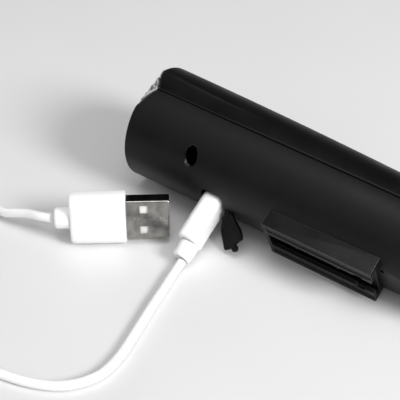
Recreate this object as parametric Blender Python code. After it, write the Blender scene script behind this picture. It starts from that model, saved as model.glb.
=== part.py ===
"""Rechargeable LED light tube, lying on its side on a table with its charging lead plugged in.

The light is modelled along its own axis, in millimetres: x from the lens rearwards, z towards the
button side, -z towards the charging port and the mounting rail. An empty then lays it down, so
that the round side and the rail's corner rest on z = 0. Meshes are written in metres.
"""
import math

import bmesh
import bpy
from mathutils import Matrix, Vector

MM = 0.001

# ---------------------------------------------------------------- driving dimensions (mm, degrees)
LENGTH = 112.0
FRONT_RADIUS = 17.1
SIDE_TAPER = 0.024          # loss of half width per mm of length
TOP_TAPER = 0.0154          # loss of half height per mm of length
TOP_CURVE = 0.00016         # and per mm squared, which makes the back gently convex
SECTION_DROP = 0.53         # share of the lost height that lowers the section's centre
TAIL_START = 98.0
TAIL_ROUND = 0.90           # how far the tail's ellipse runs before its small end face
WALL = 1.8
PARTING = 2.6               # height of the joint between the two shells
PARTING_GAP = 0.3
PAD_START, PAD_END = 46.0, 48.5
PAD_LEVEL = 14.8            # the flat under the rear two thirds, which carries the rail
NOSE_ROUND = 3.0            # rounding of the upper shell's front edge

NOTCH_DEPTH, NOTCH_TOP, NOTCH_BOTTOM = 2.6, 7.2, -5.2

LENS_FRONT, LENS_BACK, LENS_RADIUS = 0.3, 2.3, 14.9
GASKET_X = (2.6, 3.3)
REFLECTOR_X = (3.6, 20.0)
LED_BOARD_X = (20.3, 21.9)
HEAT_SINK_X = (22.2, 25.4)

FRONT_SCREW_X, FRONT_SCREW_Y = 21.8, 12.7
REAR_SCREW_X = 105.2
SCREW_SEAT = -6.2
RECESS_RADIUS, BOSS_RADIUS = 1.9, 2.6

PORT_X = 31.0
PORT_FLOOR = -15.7
PORT_RECESS = (7.6, 12.6)
PORT_HOLE = (3.7, 8.5)
SOCKET = (3.2, 8.0)

BOARD_Z = (-9.9, -8.9)
CELL_X = (35.5, 100.5)
CELL_RADIUS, CELL_Z = 9.15, 0.9

BUTTON_X, BUTTON_RADIUS, BUTTON_FLANGE = 30.5, 4.3, 5.6
BUTTON_TOP = 15.9

RAIL_X = (48.9, 81.8)
RAIL_HALF, RAIL_FACE = 9.2, -18.45
SLOT_HALF, CHANNEL_HALF = 3.6, 7.3
LIP_INNER, CHANNEL_FLOOR = -17.3, -15.9
LATCH_X = (76.4, 79.0)
RAIL_SCREWS = (57.0, 70.0)

PLUG_FACE, OVERMOLD_END, NECK_END = -16.0, -29.8, -34.9
CABLE_RADIUS = 1.3

ROLL = -65.4                # how far the light has rolled onto its side
PITCH = 0.885               # the tapered side rests flat, so the axis falls to the rear
AXIS_HEIGHT = 17.147        # of the axis above the table at the lens
FRONT_AT = (-55.906, 2.224)    # table point below the lens' centre

USB_A_AT = (-57.85, -38.55, 7.8)    # middle of the large plug's rear face
USB_A_TURN = 36.6
USB_A_LEAN = 13.3
USB_A_BODY = (15.9, 8.0, 15.5)
USB_A_SHELL = (12.0, 4.5, 12.0)

# The lead's centreline from the small plug to the large one, in table coordinates.
CABLE_ROUTE = [
    (-25.1, -30.0, 1.95),
    (-25.0, -32.3, 1.45),
    (-24.4, -36.2, 1.35),
    (-23.4, -41.4, 1.35),
    (-21.9, -49.6, 1.35),
    (-19.9, -59.0, 1.35),
    (-18.6, -67.0, 1.35),
    (-19.3, -74.5, 1.35),
    (-24.1, -81.4, 1.35),
    (-31.4, -85.5, 1.35),
    (-40.9, -88.1, 1.35),
    (-52.9, -90.9, 1.35),
    (-68.9, -94.2, 1.35),
    (-85.9, -95.8, 1.35),
    (-102.9, -95.2, 1.35),
    (-119.9, -91.0, 1.35),
    (-133.9, -82.0, 1.35),
    (-141.4, -68.5, 1.35),
    (-139.4, -54.5, 1.35),
    (-128.9, -44.8, 1.35),
    (-114.4, -40.6, 1.35),
    (-99.9, -41.0, 1.5),
    (-88.4, -43.2, 2.3),
    (-78.6, -44.5, 3.5),
    (-74.7, -44.0, 4.9),
    (-69.8, -42.9, 6.4),
    (-65.9, -42.7, 7.3),
    (-62.1, -41.6, 7.75),
]
CABLE_STEP = 4.2


# ---------------------------------------------------------------- scene helpers
def clear_scene():
    for old in list(bpy.data.objects):
        bpy.data.objects.remove(old, do_unlink=True)


def material(name, colour, roughness, metallic=0.0, transmission=0.0):
    mat = bpy.data.materials.new(name)
    mat.use_nodes = True
    shader = mat.node_tree.nodes["Principled BSDF"]
    shader.inputs["Base Color"].default_value = (*colour, 1.0)
    shader.inputs["Roughness"].default_value = roughness
    shader.inputs["Metallic"].default_value = metallic
    shader.inputs["Transmission Weight"].default_value = transmission
    return mat


def empty(name, location=(0, 0, 0), rotation=Matrix.Identity(4)):
    axis = bpy.data.objects.new(name, None)
    axis.matrix_world = Matrix.Translation(Vector(location) * MM) @ rotation
    bpy.context.scene.collection.objects.link(axis)
    return axis


def mesh_object(name, bm, parent, mat=None, smooth=35):
    bmesh.ops.recalc_face_normals(bm, faces=bm.faces)
    bmesh.ops.scale(bm, vec=(MM, MM, MM), verts=bm.verts)
    mesh = bpy.data.meshes.new(name)
    bm.to_mesh(mesh)
    bm.free()
    obj = bpy.data.objects.new(name, mesh)
    bpy.context.scene.collection.objects.link(obj)
    obj.parent = parent
    if mat is None:
        obj.hide_render = True
        obj.display_type = 'WIRE'
        return obj
    mesh.materials.append(mat)
    mesh.shade_smooth()
    mesh.set_sharp_from_angle(angle=math.radians(smooth))
    return obj


def combine(obj, other, operation='DIFFERENCE'):
    step = obj.modifiers.new(operation.lower() + "_" + other.name, 'BOOLEAN')
    step.operation = operation
    step.solver = 'EXACT'
    step.object = other


# ---------------------------------------------------------------- shape helpers (mm)
def loft(rings, bm=None):
    """Closed solid through rings of equal length, capped at both ends."""
    bm = bm or bmesh.new()
    rows = [[bm.verts.new(point) for point in ring] for ring in rings]
    count = len(rows[0])
    for low, high in zip(rows, rows[1:]):
        for i in range(count):
            j = (i + 1) % count
            bm.faces.new((low[i], low[j], high[j], high[i]))
    bm.faces.new(rows[0][::-1])
    bm.faces.new(rows[-1])
    return bm


def box(x, y, z):
    """Solid between two corners, given as (low, high) for each direction."""
    bm = bmesh.new()
    bmesh.ops.create_cube(bm, size=1.0)
    for vert in bm.verts:
        vert.co = Vector(low + (high - low) * (part + 0.5)
                         for (low, high), part in zip((x, y, z), vert.co))
    return bm


def rounded_rect(a, b, radius, steps=4):
    """Outline points of a rectangle 2a by 2b with round corners."""
    points = []
    for corner, (sa, sb) in enumerate(((1, 1), (-1, 1), (-1, -1), (1, -1))):
        for i in range(steps + 1):
            turn = math.radians(90 * corner + 90 * i / steps)
            points.append((sa * (a - radius) + radius * math.cos(turn),
                           sb * (b - radius) + radius * math.sin(turn)))
    return points


def turned(profile, centre=(0, 0), axis='X', sides=32):
    """Solid of revolution. The profile lists (distance along the axis, radius) round its section."""
    bm = bmesh.new()
    rows = []
    for i in range(sides):
        turn = 2 * math.pi * i / sides
        row = []
        for along, radius in profile:
            u = centre[0] + radius * math.cos(turn)
            v = centre[1] + radius * math.sin(turn)
            row.append(bm.verts.new((along, u, v) if axis == 'X' else (u, v, along)))
        rows.append(row)
    for i, row in enumerate(rows):
        following = rows[(i + 1) % sides]
        for j in range(len(profile)):
            k = (j + 1) % len(profile)
            bm.faces.new((row[j], row[k], following[k], following[j]))
    bmesh.ops.remove_doubles(bm, verts=bm.verts, dist=1e-5)
    return bm


def rod(low, high, radius, centre=(0, 0), axis='X', sides=24):
    """Plain cylinder between two places on its axis."""
    bm = bmesh.new()
    rings = []
    for along in (low, high):
        ring = []
        for i in range(sides):
            turn = 2 * math.pi * (i + 0.3) / sides
            u = centre[0] + radius * math.cos(turn)
            v = centre[1] + radius * math.sin(turn)
            ring.append((along, u, v) if axis == 'X' else (u, v, along))
        rings.append(ring)
    return loft(rings, bm)


def smooth_route(points, step):
    """Points every step along a Catmull-Rom curve through the given ones."""
    points = [Vector(p) for p in points]
    ends = [2 * points[0] - points[1]] + points + [2 * points[-1] - points[-2]]
    dense = []
    for p0, p1, p2, p3 in zip(ends, ends[1:], ends[2:], ends[3:]):
        for i in range(20):
            t = i / 20
            dense.append(0.5 * (2 * p1 + (p2 - p0) * t + (2 * p0 - 5 * p1 + 4 * p2 - p3) * t * t
                                + (3 * p1 - p0 - 3 * p2 + p3) * t ** 3))
    dense.append(points[-1])
    lengths = [0.0]
    for a, b in zip(dense, dense[1:]):
        lengths.append(lengths[-1] + (b - a).length)
    count = round(lengths[-1] / step)
    route = []
    j = 0
    for i in range(count + 1):
        want = lengths[-1] * i / count
        while j < len(dense) - 2 and lengths[j + 1] < want:
            j += 1
        share = (want - lengths[j]) / (lengths[j + 1] - lengths[j])
        route.append(dense[j].lerp(dense[j + 1], share))
    return route


def tube(name, route, radius, parent, mat, resolution=2):
    """Round cord or wire: a bevelled poly curve with closed ends."""
    data = bpy.data.curves.new(name, 'CURVE')
    data.dimensions = '3D'
    data.bevel_depth = radius * MM
    data.bevel_resolution = resolution
    data.render_resolution_u = 0
    data.use_fill_caps = True
    spline = data.splines.new('POLY')
    spline.points.add(len(route) - 1)
    for target, point in zip(spline.points, route):
        target.co = (*(Vector(point) * MM), 1.0)
    data.materials.append(mat)
    obj = bpy.data.objects.new(name, data)
    bpy.context.scene.collection.objects.link(obj)
    obj.parent = parent
    return obj


# ---------------------------------------------------------------- body section
def half_width(x):
    return FRONT_RADIUS - SIDE_TAPER * x


def half_height(x):
    return FRONT_RADIUS - TOP_TAPER * x - TOP_CURVE * x * x


def drop(x):
    return SECTION_DROP * (FRONT_RADIUS - half_height(x))


def tail(x):
    run = max(0.0, (x - TAIL_START) / (LENGTH - TAIL_START))
    return math.sqrt(1 - (TAIL_ROUND * min(run, 1.0)) ** 2)


def pad(x):
    share = min(1.0, max(0.0, (x - PAD_START) / (PAD_END - PAD_START)))
    return FRONT_RADIUS + 2 + (PAD_LEVEL - FRONT_RADIUS - 2) * share


def section_point(x, angle, grow=0.0, inset=0.0):
    """Point of the body's section at x, at an angle from straight below, grown outwards."""
    at = max(x, 0.0)
    wide = half_width(at) * tail(at) + grow - inset
    high = half_height(at) * tail(at) + grow - inset
    z = -drop(at) - high * math.cos(angle)
    return (x, wide * math.sin(angle), max(z, -pad(at) - grow))


def parting_angle(x, level):
    return math.acos(-(level + drop(x)) / (half_height(x) * tail(x)))


def stations():
    front = [0.0, 0.4, 1.5, 3.0]
    middle = [14, 30, PAD_START, PAD_END, 66, 84, TAIL_START]
    rear = [102.0, 105.5, 108.3, 110.5, LENGTH]
    return front + middle + rear


def full_rings(grow, ahead, behind, sides=40):
    places = [-ahead] + [x for x in stations() if x < behind] + [behind]
    return [[section_point(x, 2 * math.pi * i / sides, grow) for i in range(sides)]
            for x in places]


def shell_rings(lower, steps=30):
    """Rings of a half shell's outer solid, each closed by a straight line at the joint."""
    rings = []
    for x in stations():
        level = PARTING + (-1 if lower else 1) * PARTING_GAP / 2
        edge = parting_angle(x, level)
        first, last = (-edge, edge) if lower else (edge, 2 * math.pi - edge)
        ring = []
        for i in range(steps + 1):
            angle = first + (last - first) * i / steps
            inset = nose_inset(x, angle, lower)
            point = section_point(x, angle, 0.0, inset)
            if i in (0, steps):
                point = (point[0], point[1], level)
            ring.append(point)
        rings.append(ring)
    return rings


def nose_inset(x, angle, lower):
    """How far the front edge is rounded in: broad over the top, small round the lower shell."""
    radius = 0.45 if lower else 0.9 + (NOSE_ROUND - 0.9) * max(0.0, -math.cos(angle))
    if x >= radius:
        return 0.0
    return radius - math.sqrt(radius ** 2 - (radius - x) ** 2)


# ---------------------------------------------------------------- shells
def notch_cutter(parent):
    reach = 25.0
    rings = [[(NOTCH_DEPTH, y, PARTING), (-1.5, y, NOTCH_TOP + 2.6), (-1.5, y, NOTCH_BOTTOM - 4.5)]
             for y in (-reach, reach)]
    return mesh_object("notch_cutter", loft(rings), parent)


def screw_places():
    return (("front_left", FRONT_SCREW_X, FRONT_SCREW_Y),
            ("front_right", FRONT_SCREW_X, -FRONT_SCREW_Y),
            ("rear", REAR_SCREW_X, 0.0))


def shells(parent, plastic):
    cavity = mesh_object("cavity_cutter", loft(full_rings(-WALL, 2.0, 110.2)), parent)
    for name, x, y in screw_places():
        boss = rod(-25, 25, BOSS_RADIUS, (x, y), 'Z', 20)
        combine(cavity, mesh_object(name + "_boss_cutter", boss, parent))
    notch = notch_cutter(parent)

    lower = mesh_object("lower_shell", loft(shell_rings(True)), parent, plastic)
    upper = mesh_object("upper_shell", loft(shell_rings(False)), parent, plastic)
    for shell in (lower, upper):
        combine(shell, cavity)
        combine(shell, notch)
    for name, x, y in screw_places():
        recess = rod(-25, SCREW_SEAT, RECESS_RADIUS, (x, y), 'Z', 20)
        combine(lower, mesh_object(name + "_recess_cutter", recess, parent))
        shank = rod(-10, 8.0, 1.05, (x, y), 'Z', 12)
        shank_cutter = mesh_object(name + "_shank_cutter", shank, parent)
        combine(lower, shank_cutter)
        combine(upper, shank_cutter)

    half_x, half_y = PORT_RECESS[0] / 2, PORT_RECESS[1] / 2
    outline = rounded_rect(half_x, half_y, 1.6, 3)
    rings = [[(PORT_X + x, y, z) for x, y in outline] for z in (-20.0, PORT_FLOOR)]
    combine(lower, mesh_object("port_recess_cutter", loft(rings), parent))
    outline = rounded_rect(PORT_HOLE[0] / 2, PORT_HOLE[1] / 2, 0.8, 3)
    rings = [[(PORT_X + x, y, z) for x, y in outline] for z in (-20.0, -12.0)]
    combine(lower, mesh_object("port_hole_cutter", loft(rings), parent))
    for i, x in enumerate(RAIL_SCREWS):
        hole = rod(-20, -10, 1.1, (x, 0), 'Z', 12)
        combine(lower, mesh_object("pad_hole_cutter_%d" % i, hole, parent))
    opening = rod(8, 20, BUTTON_RADIUS + 0.3, (BUTTON_X, 0), 'Z', 32)
    combine(upper, mesh_object("button_opening_cutter", opening, parent))
    pipe = rod(8, 20, 0.95, (BUTTON_X + 9.5, 0), 'Z', 16)
    combine(upper, mesh_object("indicator_opening_cutter", pipe, parent))


# ---------------------------------------------------------------- light unit
def front_lens(parent, clear):
    """Clear disc with a wedge on each side, which fills the notches between the shells."""
    disc = turned([(LENS_FRONT, 0), (LENS_FRONT, LENS_RADIUS), (LENS_BACK, LENS_RADIUS),
                   (LENS_BACK, 0)], sides=48)
    lens = mesh_object("front_lens", disc, parent, clear)
    gap = 0.25
    for side in (-1, 1):
        wedge = []
        for y in (14.2 * side, (FRONT_RADIUS - 0.15) * side):
            wedge.append([(NOTCH_DEPTH - 2 * gap, y, PARTING), (LENS_FRONT, y, NOTCH_TOP - 1.2),
                          (LENS_FRONT, y, NOTCH_BOTTOM + 1.6)])
        name = "lens_wedge_right" if side < 0 else "lens_wedge_left"
        part = mesh_object(name + "_form", loft(wedge), parent)
        trim = mesh_object(name + "_trim", loft(full_rings(-0.3, 2.0, 8.0)), parent)
        combine(part, trim, 'INTERSECT')
        combine(lens, part, 'UNION')
    return lens


def light_unit(parent, mats):
    front_lens(parent, mats["clear"])
    low, high = GASKET_X
    ring = [(low, 13.2), (high, 13.2), (high, 14.7), (low, 14.7)]
    mesh_object("lens_gasket", turned(ring, sides=32), parent, mats["rubber"])

    low, high = REFLECTOR_X
    steps = 5
    inner = [(high - (high - low) * (i / steps) ** 2, 3.4 + 9.4 * i / steps)
             for i in range(steps + 1)]
    outer = [(x, r + 0.9) for x, r in reversed(inner)]
    flange = [(low, 14.7), (low + 0.9, 14.7)]
    outer = [(max(x, low + 0.9), r) for x, r in outer]
    bowl = turned(inner + flange + outer, sides=28)
    mesh_object("reflector", bowl, parent, mats["chrome"])

    emitter = loft([[(x, y * s, z * s) for y, z in rounded_rect(1.75, 1.75, 0.4, 2)]
                    for x, s in ((19.0, 0.55), (19.5, 0.9), (20.1, 1.0))])
    mesh_object("led_emitter", emitter, parent, mats["phosphor"])
    mesh_object("led_board", rod(*LED_BOARD_X, 9.6), parent, mats["board"])
    low, high = HEAT_SINK_X
    fins = [(low, 0), (low, 8.6), (low + 0.8, 8.6), (low + 0.8, 6.6), (low + 1.4, 6.6),
            (low + 1.4, 8.6), (low + 2.2, 8.6), (low + 2.2, 6.6), (high, 6.6), (high, 0)]
    mesh_object("heat_sink", turned(fins, sides=24), parent, mats["aluminium"])


# ---------------------------------------------------------------- electronics and battery
def electronics(parent, mats):
    mesh_object("main_board", box((27.3, 58.0), (-8.0, 8.0), BOARD_Z), parent, mats["board"])

    socket = mesh_object("usb_socket", box((PORT_X - SOCKET[0] / 2, PORT_X + SOCKET[0] / 2),
                                           (-SOCKET[1] / 2, SOCKET[1] / 2),
                                           (PORT_FLOOR + 0.1, BOARD_Z[0] - 0.1)),
                         parent, mats["steel"])
    hollow = box((PORT_X - 1.2, PORT_X + 1.2), (-3.65, 3.65), (-18.0, -10.6))
    combine(socket, mesh_object("usb_socket_cutter", hollow, parent))

    mesh_object("battery_cell", rod(*CELL_X, CELL_RADIUS, (0, CELL_Z), 'X', 36), parent,
                mats["cell"])
    strip = box((CELL_X[0] - 0.45, CELL_X[0] - 0.2), (-2.5, 2.5), (CELL_Z - 6, CELL_Z + 2.5))
    mesh_object("battery_tab_front", strip, parent, mats["steel"])
    strip = box((CELL_X[1] + 0.2, CELL_X[1] + 0.45), (-2.5, 2.5), (CELL_Z - 5, CELL_Z + 4))
    mesh_object("battery_tab_rear", strip, parent, mats["steel"])
    cradle = mesh_object("battery_cradle", box((62.0, 94.0), (-6.5, 6.5), (-12.0, -4.6)), parent,
                         mats["plastic"])
    seat = rod(60, 99, CELL_RADIUS + 0.3, (0, CELL_Z), 'X', 36)
    combine(cradle, mesh_object("cradle_seat_cutter", seat, parent))
    mesh_object("battery_foam", box((45.0, 80.0), (-3.5, 3.5), (10.4, 11.2)), parent,
                mats["foam"])

    mesh_object("switch_board", box((26.0, 34.9), (-6.0, 6.0), (6.6, 7.4)), parent, mats["board"])
    mesh_object("tactile_switch", box((BUTTON_X - 3, BUTTON_X + 3), (-3.0, 3.0), (7.6, 9.0)),
                parent, mats["plastic"])

    wires = {
        "led_wire_positive": [(22.6, 2.6, -9.3), (24.4, 2.6, -9.4), (26.3, 2.6, -8.6),
                              (28.6, 2.6, -8.3)],
        "led_wire_negative": [(22.6, -2.6, -9.3), (24.4, -2.6, -9.4), (26.3, -2.6, -8.6),
                              (28.6, -2.6, -8.3)],
        "battery_wire_positive": [(34.4, -1.5, -3.6), (33.2, -2.4, -5.4), (33.0, -4.2, -7.4),
                                  (34.0, -6.0, -8.3)],
        "battery_wire_negative": [(101.6, 2.0, -1.5), (102.0, 5.6, -4.6), (100.4, 7.7, -7.2),
                                  (94.0, 8.3, -7.9), (76.0, 8.3, -7.9), (62.0, 8.2, -7.9),
                                  (56.6, 7.2, -8.3)],
    }
    for name, points in wires.items():
        colour = mats["red_wire"] if name.endswith("positive") else mats["black_wire"]
        tube(name, smooth_route(points, 2.0), 0.4, parent, colour, 1)


# ---------------------------------------------------------------- controls, screws, rail, cover
def controls(parent, mats):
    profile = [(12.0, 0), (12.0, BUTTON_FLANGE), (12.8, BUTTON_FLANGE), (12.8, BUTTON_RADIUS),
               (BUTTON_TOP - 0.3, BUTTON_RADIUS), (BUTTON_TOP, BUTTON_RADIUS - 0.5),
               (BUTTON_TOP - 0.25, BUTTON_RADIUS - 1.6), (BUTTON_TOP - 0.35, 0)]
    mesh_object("power_button", turned(profile, (BUTTON_X, 0), 'Z', 28), parent,
                mats["rubber"])
    mesh_object("switch_plunger", rod(9.95, 11.85, 1.5, (BUTTON_X, 0), 'Z', 20), parent,
                mats["plastic"])
    pipe = [(11.4, 0), (11.4, 1.3), (12.4, 1.3), (12.4, 0.75), (15.4, 0.75), (15.6, 0.5), (15.6, 0)]
    mesh_object("indicator_light_pipe", turned(pipe, (BUTTON_X + 9.5, 0), 'Z', 16), parent,
                mats["clear"])


def screws(parent, steel):
    for name, x, y in screw_places():
        seat = SCREW_SEAT - 0.1
        profile = [(seat - 1.4, 0.7), (seat - 1.4, 1.3), (seat - 1.0, 1.65), (seat, 1.65),
                   (seat, 0.85), (6.4, 0.85), (6.9, 0.3), (6.9, 0), (seat - 0.6, 0),
                   (seat - 0.6, 0.7)]
        mesh_object("case_screw_" + name, turned(profile, (x, y), 'Z', 16), parent, steel)
    for i, x in enumerate(RAIL_SCREWS):
        seat = CHANNEL_FLOOR - 0.1
        profile = [(seat - 0.9, 0), (seat - 0.9, 1.2), (seat - 0.6, 1.75), (seat, 1.75),
                   (seat, 0.85), (-13.1, 0.85), (-13.1, 0)]
        mesh_object("rail_screw_%s" % ("front", "rear")[i], turned(profile, (x, 0), 'Z', 16),
                    parent, steel)


def mount_rail(parent, plastic):
    """Slide-in rail: closed in front, open behind, with a latch notch in both lips."""
    block = box(RAIL_X, (-RAIL_HALF, RAIL_HALF), (RAIL_FACE, -10.0))
    upright = [e for e in block.edges if abs(e.verts[0].co.z - e.verts[1].co.z) > 1]
    bmesh.ops.bevel(block, geom=upright, offset=0.9, segments=3, affect='EDGES')
    face_edges = [e for e in block.edges if all(v.co.z < RAIL_FACE + 0.01 for v in e.verts)]
    bmesh.ops.bevel(block, geom=face_edges, offset=0.35, segments=2, affect='EDGES')
    rail = mesh_object("mount_rail", block, parent, plastic)
    body = mesh_object("rail_seat_cutter", loft(full_rings(0.25, 2.0, LENGTH)), parent)
    combine(rail, body)
    front = RAIL_X[0] + 2.0
    slot = box((front, 90.0), (-SLOT_HALF, SLOT_HALF), (-20.0, LIP_INNER + 0.2))
    combine(rail, mesh_object("rail_slot_cutter", slot, parent))
    channel = box((front, 90.0), (-CHANNEL_HALF, CHANNEL_HALF), (LIP_INNER, CHANNEL_FLOOR))
    combine(rail, mesh_object("rail_channel_cutter", channel, parent))
    latch = box(LATCH_X, (-SLOT_HALF - 0.9, SLOT_HALF + 0.9), (-20.0, LIP_INNER + 0.2))
    combine(rail, mesh_object("rail_latch_cutter", latch, parent))
    for i, x in enumerate(RAIL_SCREWS):
        hole = rod(-17, -14, 1.1, (x, 0), 'Z', 12)
        combine(rail, mesh_object("rail_hole_cutter_%d" % i, hole, parent))


def port_cover(parent, rubber):
    """Rubber cover, pulled out of the port and hanging beside the plug by its strap."""
    root = Vector((35.0, -0.6, -17.85))
    along = Vector((0.619, 0.365, -0.696))
    across = Vector((0.729, -0.594, 0.338))
    through = along.cross(across).normalized()
    outline = [(0.0, -0.8), (2.6, -1.9), (4.6, -3.3), (6.2, -3.8), (8.7, -3.9), (9.3, -3.4),
               (9.3, -1.4), (10.3, -1.0), (10.7, -0.3), (10.3, 0.5), (9.3, 0.9), (8.7, 3.3),
               (7.9, 3.7), (5.6, 3.4), (3.4, 2.6), (1.4, 1.4), (0.0, 0.7)]
    rings = [[root + along * s + across * t + through * depth for s, t in outline]
             for depth in (0.0, -1.15)]
    mesh_object("port_cover", loft(rings), parent, rubber)


# ---------------------------------------------------------------- charging lead
def micro_plug(parent, white, steel):
    tongue = rounded_rect(0.85, 3.35, 0.5, 2)
    rings = [[(PORT_X + x, y, z) for x, y in tongue] for z in (-11.2, PLUG_FACE + 0.3)]
    mesh_object("micro_plug_shell", loft(rings[::-1]), parent, steel)
    rings = []
    for z, shrink in ((PLUG_FACE, 0.35), (PLUG_FACE - 0.4, 0.0), (OVERMOLD_END + 0.7, 0.0),
                      (OVERMOLD_END + 0.2, 0.25), (OVERMOLD_END, 0.6)):
        outline = rounded_rect(3.05 - shrink, 4.0 - shrink, 2.5 - shrink, 5)
        rings.append([(PORT_X + x, y, z) for x, y in outline])
    mesh_object("micro_plug_overmold", loft(rings), parent, white)
    rings = []
    for z, radius in ((OVERMOLD_END - 0.3, 2.6), (NECK_END + 1.0, 2.35), (NECK_END + 0.3, 2.2),
                      (NECK_END, 1.9)):
        rings.append([(PORT_X + radius * math.cos(math.tau * i / 24),
                       radius * math.sin(math.tau * i / 24), z) for i in range(24)])
    mesh_object("micro_plug_relief", loft(rings), parent, white)


def large_plug(parent, mats):
    """Plug with its rear face at x = 0 and its wide faces across z."""
    length, thick, wide = USB_A_BODY
    rings = []
    for x, shrink in ((0.0, 0.7), (0.3, 0.25), (0.9, 0.0), (length - 0.5, 0.0),
                      (length - 0.15, 0.15), (length, 0.45)):
        outline = rounded_rect(thick / 2 - shrink, wide / 2 - shrink, 3.4 - shrink, 5)
        rings.append([(x, y, z) for y, z in outline])
    mesh_object("usb_a_overmold", loft(rings), parent, mats["white"])

    rings = []
    for x, radius in ((-4.4, 2.3), (-4.1, 2.75), (-3.4, 3.0), (-0.3, 3.15)):
        rings.append([(x, radius * math.cos(math.tau * i / 24),
                       radius * math.sin(math.tau * i / 24)) for i in range(24)])
    mesh_object("usb_a_relief", loft(rings), parent, mats["white"])

    reach, thick, wide = USB_A_SHELL
    start = length + 0.3
    outline = rounded_rect(thick / 2, wide / 2, 0.5, 2)
    shell = mesh_object("usb_a_shell", loft([[(x, y, z) for y, z in outline]
                                             for x in (start, start + reach)]),
                        parent, mats["steel"])
    skin = 0.35
    inside = box((start + 0.5, start + reach + 2), (skin - thick / 2, thick / 2 - skin),
                 (skin - wide / 2, wide / 2 - skin))
    combine(shell, mesh_object("usb_a_inside_cutter", inside, parent))
    for i, z in enumerate((-3.3, 3.3)):
        window = box((start + 4.0, start + 6.5), (-4, 4), (z - 1.35, z + 1.35))
        combine(shell, mesh_object("usb_a_window_cutter_%d" % i, window, parent))
    tongue = box((start + 0.8, start + reach - 0.5), (-1.6, 0.3), (-5.4, 5.4))
    mesh_object("usb_a_tongue", tongue, parent, mats["white"])


# ---------------------------------------------------------------- assembly
def laid_down():
    roll = Matrix.Rotation(math.radians(ROLL), 4, 'X')
    return Matrix.Rotation(math.radians(PITCH), 4, 'Y') @ roll


def main():
    clear_scene()
    mats = {
        "plastic": material("black_matt_plastic", (0.012, 0.012, 0.013), 0.45),
        "texture": material("black_grained_plastic", (0.02, 0.02, 0.021), 0.6),
        "clear": material("clear_polycarbonate", (0.85, 0.87, 0.88), 0.05, 0.0, 0.9),
        "rubber": material("black_rubber", (0.016, 0.016, 0.016), 0.7),
        "chrome": material("bright_reflector", (0.9, 0.9, 0.9), 0.08, 1.0),
        "phosphor": material("yellow_phosphor", (0.85, 0.7, 0.12), 0.4),
        "board": material("green_circuit_board", (0.02, 0.16, 0.07), 0.4),
        "aluminium": material("aluminium", (0.75, 0.76, 0.77), 0.35, 1.0),
        "steel": material("nickel_plated_steel", (0.62, 0.61, 0.58), 0.22, 1.0),
        "screw": material("blackened_steel", (0.08, 0.08, 0.08), 0.35, 1.0),
        "cell": material("blue_battery_sleeve", (0.03, 0.12, 0.45), 0.35),
        "foam": material("grey_foam", (0.08, 0.08, 0.09), 0.95),
        "white": material("white_soft_plastic", (0.88, 0.88, 0.88), 0.4),
        "red_wire": material("red_wire", (0.6, 0.02, 0.02), 0.4),
        "black_wire": material("black_wire", (0.01, 0.01, 0.01), 0.4),
    }
    light = empty("light_axis", (*FRONT_AT, AXIS_HEIGHT), laid_down())
    shells(light, mats["plastic"])
    light_unit(light, mats)
    electronics(light, mats)
    controls(light, mats)
    screws(light, mats["screw"])
    mount_rail(light, mats["texture"])
    port_cover(light, mats["rubber"])
    micro_plug(light, mats["white"], mats["steel"])

    turn = Matrix.Rotation(math.radians(USB_A_TURN), 4, 'Z')
    lean = Matrix.Rotation(math.radians(-USB_A_LEAN), 4, 'X')
    plug = empty("usb_a_axis", USB_A_AT, turn @ lean)
    large_plug(plug, mats)
    route = smooth_route(CABLE_ROUTE, CABLE_STEP)
    tube("charging_cable", route, CABLE_RADIUS, None, mats["white"])


main()
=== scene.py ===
"""Looks of the rechargeable LED light tube that lies on its side with its charging lead plugged in.

Shapes are worked out in the light's own millimetres: x from the lens rearwards, z towards the
button, -z towards the port and the rail. LIGHT takes them into the row frame.
"""
import math

import bmesh
import bpy
from mathutils import Matrix, Vector


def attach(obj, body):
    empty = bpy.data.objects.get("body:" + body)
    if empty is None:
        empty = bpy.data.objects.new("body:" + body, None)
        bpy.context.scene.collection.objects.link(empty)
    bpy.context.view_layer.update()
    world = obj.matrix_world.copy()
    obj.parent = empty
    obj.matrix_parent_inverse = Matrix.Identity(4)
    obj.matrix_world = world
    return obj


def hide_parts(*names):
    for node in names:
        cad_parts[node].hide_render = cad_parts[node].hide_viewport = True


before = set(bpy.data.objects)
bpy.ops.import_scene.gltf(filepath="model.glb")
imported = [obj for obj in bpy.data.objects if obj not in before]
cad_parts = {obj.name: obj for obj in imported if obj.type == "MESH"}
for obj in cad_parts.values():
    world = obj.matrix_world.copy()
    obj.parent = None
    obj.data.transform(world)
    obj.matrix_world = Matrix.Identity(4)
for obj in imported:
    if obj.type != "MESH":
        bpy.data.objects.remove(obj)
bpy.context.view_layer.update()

# ------------------------ where things are
MM = 0.001
FRONT_AT = (-55.906, 2.224, 17.147)
ROLL, PITCH = -65.4, 0.885
USB_A_AT = (-57.85, -38.55, 7.8)
USB_A_TURN, USB_A_LEAN = 36.6, 13.3

LIGHT = (Matrix.Scale(MM, 4) @ Matrix.Translation(FRONT_AT)
         @ Matrix.Rotation(math.radians(PITCH), 4, 'Y')
         @ Matrix.Rotation(math.radians(ROLL), 4, 'X'))
USB_A = (Matrix.Scale(MM, 4) @ Matrix.Translation(USB_A_AT)
         @ Matrix.Rotation(math.radians(USB_A_TURN), 4, 'Z')
         @ Matrix.Rotation(math.radians(-USB_A_LEAN), 4, 'X'))
ROW = Matrix.Scale(MM, 4)

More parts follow.
